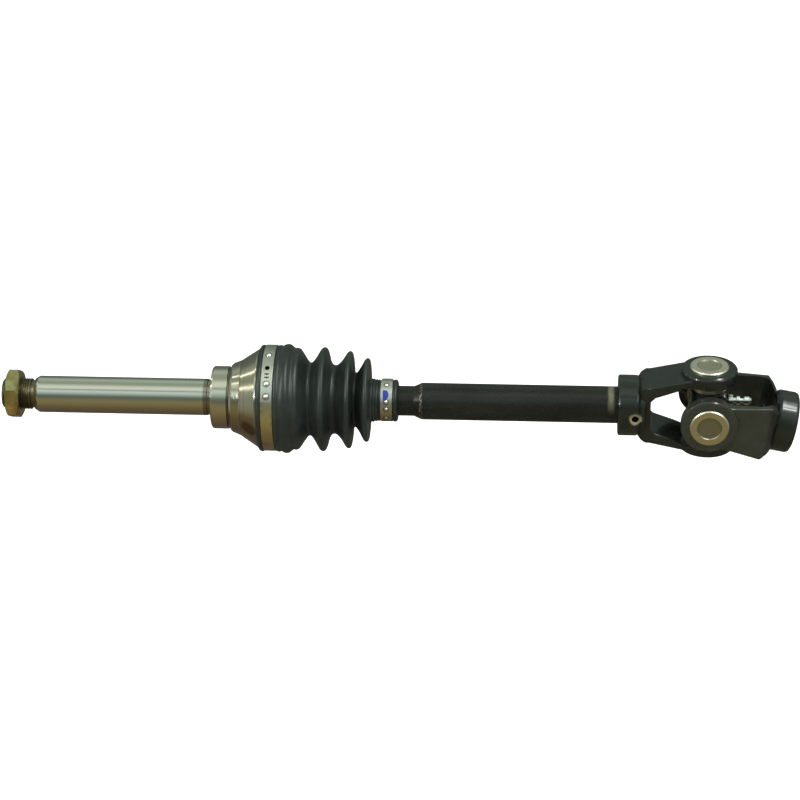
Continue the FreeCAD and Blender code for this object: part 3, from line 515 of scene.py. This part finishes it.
def shaft_yoke_wear_and_highlight(s):
    """Ragged bare ring round the pin hole, brighter on its lower side as a painted highlight, and
    worn specks along the hub's rim.
    """
    reach = s.length(s.maths("SUBTRACT", s.x, PIN_X * MM), s.z)
    ragged = s.times(s.noise(230.0, detail=6.0, rough=0.7), 5.0 * MM)
    spot = s.step_mm(s.plus(reach, ragged), (7.6, 5.6))
    # Painted highlight: the ring is fuller and brighter on its lower side.
    spot = s.times(spot, s.span(s.step_mm(s.z, (3.5, -2.5)), 0.35, 1.0))
    skin = s.step_mm(s.radius_about("axle"), HUB_SKIN_RADIUS)
    skin = s.maths("MAXIMUM", skin, s.step_mm(s.x, (PIN_X + 2.6, PIN_X + 2.9)))
    spot = s.times(s.times(spot, skin), 0.6)
    rim = s.step_mm(s.plus(s.x, ragged), (HUB_START + 2.4, HUB_START + 1.4))
    outside = s.step_mm(s.maths("ABSOLUTE", s.z), (9.0, 15.0))
    specks = s.step(s.noise(600.0, detail=4.0), 0.42, 0.52)
    return s.maths("MAXIMUM", spot, s.times(s.times(rim, outside), specks))


def output_yoke_wear(s):
    """A few worn specks on the output hub's outer rim."""
    specks = s.step(s.noise(520.0, detail=5.0), 0.66, 0.72)
    return s.times(specks, s.step_mm(s.x, OUTPUT_RIM))


def cross_wear(s):
    """Hardly a speck."""
    return s.step(s.noise(520.0, detail=5.0), 0.74, 0.8)


def cup_steel(axis):
    """Turned cup: rings round its own axis, the dished middle duller and darker."""
    s = Shader(f"cup_steel_{axis}", 1.0, 0.36)
    radius = s.radius_about(axis)
    rings = s.noise(4200.0, detail=3.0, along=radius)
    clouds = s.noise(160.0, detail=5.0)
    grain = s.noise(3200.0, detail=3.0)
    rim = s.blend(rings, (0.60, 0.57, 0.45), (0.80, 0.76, 0.63))
    dish = s.blend(grain, (0.27, 0.27, 0.20), (0.42, 0.41, 0.31))
    middle = s.step_mm(radius, CUP_DISH_RADIUS)
    colour = s.blend(middle, rim, dish)
    ring_line = s.band_mm(radius, CUP_DISH_EDGE, 0.15)
    colour = s.blend(s.times(ring_line, 0.5), colour, (0.20, 0.18, 0.12))
    s.put(colour, "Base Color")
    rough = s.plus(s.span(clouds, 0.3, 0.42), s.times(middle, 0.14))
    s.put(rough, "Roughness")
    s.bump(s.plus(rings, s.times(grain, 0.4)), 0.16, 0.05 * MM)
    return s.material


def plain_metal(name, dark, light, roughness):
    """Machined inner pieces: fine grain and slight clouding."""
    s = Shader(name, 1.0, roughness)
    grain = s.noise(2200.0, detail=4.0)
    clouds = s.noise(240.0, detail=4.0)
    s.put(s.blend(clouds, dark, light), "Base Color")
    s.put(s.span(grain, roughness - 0.05, roughness + 0.09), "Roughness")
    s.bump(grain, 0.12, 0.03 * MM)
    return s.material


def plain_soft(name, dark, light, roughness):
    """Nylon and seal rubber."""
    s = Shader(name, 0.0, roughness, specular=0.4)
    grain = s.noise(1800.0, detail=4.0)
    s.put(s.blend(grain, dark, light), "Base Color")
    s.bump(grain, 0.2, 0.05 * MM)
    return s.material


def paint_mark():
    """Dab of blue marking paint."""
    s = Shader("blue_mark", 0.0, 0.4, specular=0.4)
    smear = s.noise(900.0, detail=4.0)
    s.put(s.blend(smear, (0.004, 0.014, 0.16), (0.010, 0.035, 0.30)), "Base Color")
    s.bump(smear, 0.4, 0.1 * MM)
    return s.material


def floor_paint():
    """Pale, faintly uneven floor with light of its own, so shadows stay soft."""
    s = Shader("floor_paint", 0.0, 0.85, specular=0.1)
    clouds = s.noise(3.0, detail=3.0)
    s.put(s.blend(clouds, (0.62, 0.62, 0.62), (0.65, 0.65, 0.65)), "Base Color")
    s.bsdf.inputs["Emission Color"].default_value = (1.0, 1.0, 1.0, 1.0)
    s.bsdf.inputs["Emission Strength"].default_value = 0.58
    return s.material


def dress_nodes():
    """Gives every CAD node its surface."""
    hard = plain_metal("hardened_steel", (0.50, 0.50, 0.48), (0.66, 0.66, 0.63), 0.18)
    spring = plain_metal("spring_steel", (0.10, 0.095, 0.08), (0.24, 0.22, 0.18), 0.32)
    clear = plain_metal("bright_zinc", (0.74, 0.76, 0.76), (0.90, 0.92, 0.92), 0.22)
    nylon = plain_soft("washer_nylon", (0.60, 0.57, 0.48), (0.72, 0.69, 0.60), 0.5)
    seal = plain_soft("seal_rubber", (0.010, 0.010, 0.010), (0.022, 0.022, 0.020), 0.5)
    large_band = band_steel(
        "large_band_steel",
        LARGE_CLAMP_X,
        LARGE_CLAMP_RADIUS,
        domes=(30.0, 43.5, 81.0),
        dome=2.0,
        tail=(24.0, 180.0),
        holes=((62.0, 1.6), (50.5, 0.6), (54.5, 0.6)),
    )
    small_band = band_steel(
        "small_band_steel",
        SMALL_DOMES_X,
        SMALL_CLAMP_RADIUS,
        domes=(73.0, 24.0, 4.0, -24.0),
        dome=1.5,
        tail=(-40.0, 130.0),
        holes=(),
    )
    upright = cup_steel("upright")
    level = cup_steel("level")
    named = {
        "stub_outer_race": stub_steel(),
        "axle_nut": nut_zinc(),
        "large_clamp": large_band,
        "small_clamp": small_band,
        "axle_shaft": bar_paint(),
        "shaft_yoke": yoke_enamel("shaft_yoke_enamel", shaft_yoke_wear_and_highlight),
        # The output yoke's arms get a lighter, browner olive than its hub: painted reflection.
        "output_yoke": yoke_enamel("output_yoke_enamel", output_yoke_wear, (0.010, 0.011, 0.008)),
        "cross_spider": yoke_enamel("cross_enamel", cross_wear),
        "grease_nipple": clear,
        "yoke_roll_pin": spring,
        "shaft_circlip": spring,
        "race_stop_ring": spring,
        "inner_race": hard,
        "ball_cage": hard,
        "boot": seal,
        "bearing_cup_top": upright,
        "bearing_cup_bottom": upright,
        "bearing_cup_front": level,
        "bearing_cup_rear": level,
    }
    families = {
        "cv_ball": hard,
        "needle_rollers": hard,
        "thrust_washer": nylon,
        "snap_ring": spring,
        "cup_seal": seal,
    }
    for name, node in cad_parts.items():
        surface = named.get(name)
        for family, family_surface in families.items():
            if name.startswith(family):
                surface = family_surface
        node.data.materials.clear()
        node.data.materials.append(surface)


# ---------------------------------------------------------------- pieces


def smooth_outline(points, steps):
    """Extra points between the given ones, on a Catmull-Rom curve through them all."""
    curve = []
    last = len(points) - 1
    for i in range(last):
        before = Vector(points[max(i - 1, 0)])
        start = Vector(points[i])
        end = Vector(points[i + 1])
        after = Vector(points[min(i + 2, last)])
        for k in range(steps):
            t = k / steps
            curve.append(
                0.5
                * (
                    2 * start
                    + (end - before) * t
                    + (2 * before - 5 * start + 4 * end - after) * t * t
                    + (3 * start - before - 3 * end + after) * t**3
                )
            )
    curve.append(Vector(points[last]))
    return curve


def turned_mesh(name, outline, segments, material):
    """A closed outline of (x, radius) millimetres turned about the axle."""
    bm = bmesh.new()
    angles = [2 * math.pi * k / segments for k in range(segments)]
    rings = []
    for x, radius in outline:
        reach = radius * MM
        rings.append(
            [bm.verts.new((x * MM, reach * math.cos(a), reach * math.sin(a))) for a in angles]
        )
    for i, ring in enumerate(rings):
        following = rings[(i + 1) % len(rings)]
        for k in range(segments):
            after = (k + 1) % segments
            bm.faces.new((ring[k], ring[after], following[after], following[k]))
    bmesh.ops.recalc_face_normals(bm, faces=bm.faces)
    return finish_mesh(name, bm, material)


def finish_mesh(name, bm, material):
    """Makes the smooth-shaded object, and frees the bmesh."""
    mesh = bpy.data.meshes.new(name)
    bm.to_mesh(mesh)
    bm.free()
    for polygon in mesh.polygons:
        polygon.use_smooth = True
    mesh.materials.append(material)
    piece = bpy.data.objects.new(name, mesh)
    bpy.context.scene.collection.objects.link(piece)
    return piece


def make_boot():
    """The bellows, turned about the axle in place of the CAD boot."""
    outside = smooth_outline(BOOT_OUTSIDE, steps=4)
    inside = smooth_outline(BOOT_INSIDE, steps=2)
    boot = turned_mesh("boot_skin", outside + inside, 160, boot_rubber())
    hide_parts("boot")
    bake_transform(boot)


def make_blue_mark():
    """An irregular dab lying on the small clamp."""
    bm = bmesh.new()
    middle_x = SMALL_CLAMP_X + 3.6
    middle_angle = math.radians(41.0)
    half_width, half_length = 2.35, 5.0
    outline = []
    count = 28
    for k in range(count):
        turn = 2 * math.pi * k / count
        wobble = 1 + 0.16 * math.sin(3 * turn + 0.6) + 0.1 * math.sin(5 * turn + 2.0)
        across = half_width * wobble * math.cos(turn)
        outline.append((across, half_length * wobble * math.sin(turn)))

    def on_clamp(across, around, lift):
        angle = middle_angle + around / SMALL_CLAMP_RADIUS
        radius = (SMALL_CLAMP_RADIUS + lift) * MM
        x = (middle_x + across) * MM
        return bm.verts.new((x, -radius * math.cos(angle), radius * math.sin(angle)))

    rings = []
    for share, lift in ((1.0, 0.0), (0.93, 0.7), (0.6, 0.85), (0.25, 0.85)):
        rings.append([on_clamp(a * share, b * share, lift) for a, b in outline])
    for ring, following in zip(rings, rings[1:]):
        for k in range(count):
            after = (k + 1) % count
            bm.faces.new((ring[k], ring[after], following[after], following[k]))
    bm.faces.new(rings[-1])
    bm.faces.new(list(reversed(rings[0])))
    bmesh.ops.recalc_face_normals(bm, faces=bm.faces)
    mark = finish_mesh("blue_mark", bm, paint_mark())
    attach(mark, "shaft")


# ---------------------------------------------------------------- floor, light, camera


def make_floor():
    """A round floor that curves up into a pale wall, low enough for the axle to bend over it."""
    low = CAD_BOX[0][2] - FLOOR_DROP
    sweep = [(4.0, 0.0), (4.4, 0.0), (5.0, 0.12), (5.4, 0.5), (5.6, 1.1), (5.7, 3.0), (5.7, 7.0)]
    segments = 96
    bm = bmesh.new()
    turns = [2 * math.pi * k / segments for k in range(segments)]
    rings = []
    for radius, rise in sweep:
        rings.append(
            [bm.verts.new((radius * math.cos(t), radius * math.sin(t), low + rise)) for t in turns]
        )
    bm.faces.new(rings[0])
    for ring, following in zip(rings, rings[1:]):
        for k in range(segments):
            after = (k + 1) % segments
            bm.faces.new((ring[k], following[k], following[after], ring[after]))
    floor = finish_mesh("floor", bm, floor_paint())
    floor.visible_glossy = False


# The room's colour by the angle above the front horizon, over the top and down to the back.
ROOM = [
    (-180, (0.14, 0.16, 0.13)),
    (-98, (0.12, 0.09, 0.065)),
    (-58, (0.18, 0.14, 0.07)),
    (-28, (0.27, 0.22, 0.10)),
    (-12, (0.28, 0.25, 0.13)),
    (2, (0.23, 0.22, 0.13)),
    (12, (0.17, 0.17, 0.13)),
    (22, (0.18, 0.25, 0.22)),
    (34, (0.46, 0.58, 0.54)),
    (47, (0.78, 0.88, 0.82)),
    (55, (0.72, 0.82, 0.76)),
    (58, (0.28, 0.36, 0.33)),
    (60, (0.28, 0.36, 0.33)),
    (63, (0.66, 0.76, 0.68)),
    (72, (0.92, 1.00, 0.92)),
    (85, (0.78, 0.86, 0.70)),
    (99, (0.38, 0.46, 0.35)),
    (115, (0.40, 0.46, 0.36)),
    (133, (0.54, 0.63, 0.53)),
    (155, (0.20, 0.25, 0.21)),
    (180, (0.14, 0.16, 0.13)),
]
ROOM_ENDS = (0.42, 0.46, 0.40)


def make_world():
    """A soft room in level bands, as tube lamps and a warm bench make it. Towards its two ends
    the bands fade into one grey."""
    world = bpy.data.worlds.new("studio")
    bpy.context.scene.world = world
    world.use_nodes = True
    tree = world.node_tree
    background = tree.nodes["Background"]
    coordinates = tree.nodes.new("ShaderNodeTexCoord")
    split = tree.nodes.new("ShaderNodeSeparateXYZ")
    tree.links.new(coordinates.outputs["Generated"], split.inputs[0])
    front = tree.nodes.new("ShaderNodeMath")
    front.operation = "MULTIPLY"
    front.inputs[1].default_value = -1.0
    tree.links.new(split.outputs[1], front.inputs[0])
    angle = tree.nodes.new("ShaderNodeMath")
    angle.operation = "ARCTAN2"
    tree.links.new(split.outputs[2], angle.inputs[0])
    tree.links.new(front.outputs[0], angle.inputs[1])
    height = tree.nodes.new("ShaderNodeMapRange")
    height.inputs["From Min"].default_value = -math.pi
    height.inputs["From Max"].default_value = math.pi
    tree.links.new(angle.outputs[0], height.inputs["Value"])
    ramp = tree.nodes.new("ShaderNodeValToRGB")
    tree.links.new(height.outputs["Result"], ramp.inputs["Fac"])
    elements = ramp.color_ramp.elements
    while len(elements) > 1:
        elements.remove(elements[-1])
    for k, (turn, colour) in enumerate(ROOM):
        position = (turn + 180.0) / 360.0
        element = elements[0] if k == 0 else elements.new(position)
        element.position = position
        element.color = (*colour, 1.0)
    aside = tree.nodes.new("ShaderNodeMath")
    aside.operation = "ABSOLUTE"
    tree.links.new(split.outputs[0], aside.inputs[0])
    ends = tree.nodes.new("ShaderNodeMapRange")
    ends.interpolation_type = "SMOOTHSTEP"
    ends.inputs["From Min"].default_value = 0.85
    ends.inputs["From Max"].default_value = 0.99
    tree.links.new(aside.outputs[0], ends.inputs["Value"])
    mixed = tree.nodes.new("ShaderNodeMix")
    mixed.data_type = "RGBA"
    tree.links.new(ends.outputs["Result"], mixed.inputs[0])
    tree.links.new(ramp.outputs["Color"], mixed.inputs[6])
    mixed.inputs[7].default_value = (*ROOM_ENDS, 1.0)
    tree.links.new(mixed.outputs[2], background.inputs["Color"])
    background.inputs["Strength"].default_value = 1.0


def area_light(name, place, target, size, power, colour):
    """A flat rectangular lamp, turned to its target."""
    light = bpy.data.lights.new(name, "AREA")
    light.shape = "RECTANGLE"
    light.size, light.size_y = size
    light.energy = power
    light.color = colour
    lamp = bpy.data.objects.new(name, light)
    lamp.location = place
    aim = Vector(target) - Vector(place)
    lamp.rotation_euler = aim.to_track_quat("-Z", "Y").to_euler()
    bpy.context.scene.collection.objects.link(lamp)


def make_lights():
    """Two tall strips off to the sides, a lamp high up for the narrow glints, and two weak
    strips far to the left that the cone mirrors."""
    middle = (0.13, 0.0, 0.0)
    area_light("left_strip", (-1.2, -1.0, 1.3), middle, (0.12, 1.4), 20.0, (0.93, 1.0, 0.97))
    area_light("right_strip", (1.25, -0.6, 1.4), middle, (0.12, 1.2), 14.0, (0.93, 1.0, 0.98))
    area_light("high", (1.0, 0.1, 1.9), middle, (0.9, 0.25), 14.0, (0.95, 1.0, 1.0))
    cone = (0.025, 0.0, 0.0)
    area_light("cone_low", (-1.73, -0.14, 0.94), cone, (0.10, 1.1), 1.1, (1.0, 1.0, 0.86))
    area_light("cone_high", (-1.5, 0.64, 1.1), cone, (0.12, 1.1), 1.2, (1.0, 1.0, 0.88))


def make_camera():
    """From the front, above and a little to the right, tipped slightly to the side."""
    scene = bpy.context.scene
    camera = bpy.data.cameras.new("camera")
    camera.sensor_width = 36.0
    camera.lens = 115.1
    eye = bpy.data.objects.new("camera", camera)
    aim = Vector((0.13225, 0.0, 0.0005))
    elevation = math.radians(28.5)
    yaw = math.radians(4.0)
    roll = math.radians(-0.82)
    distance = 1.8
    back = Vector(
        (
            math.cos(elevation) * math.sin(yaw),
            -math.cos(elevation) * math.cos(yaw),
            math.sin(elevation),
        )
    )
    eye.location = aim + back * distance
    look = (-back).to_track_quat("-Z", "Y").to_matrix()
    eye.rotation_euler = (look @ Matrix.Rotation(roll, 3, "Z")).to_euler()
    scene.collection.objects.link(eye)
    scene.camera = eye
    scene.view_settings.view_transform = "Standard"


dress_nodes()
make_boot()
make_blue_mark()
make_floor()
make_world()
make_lights()
make_camera()
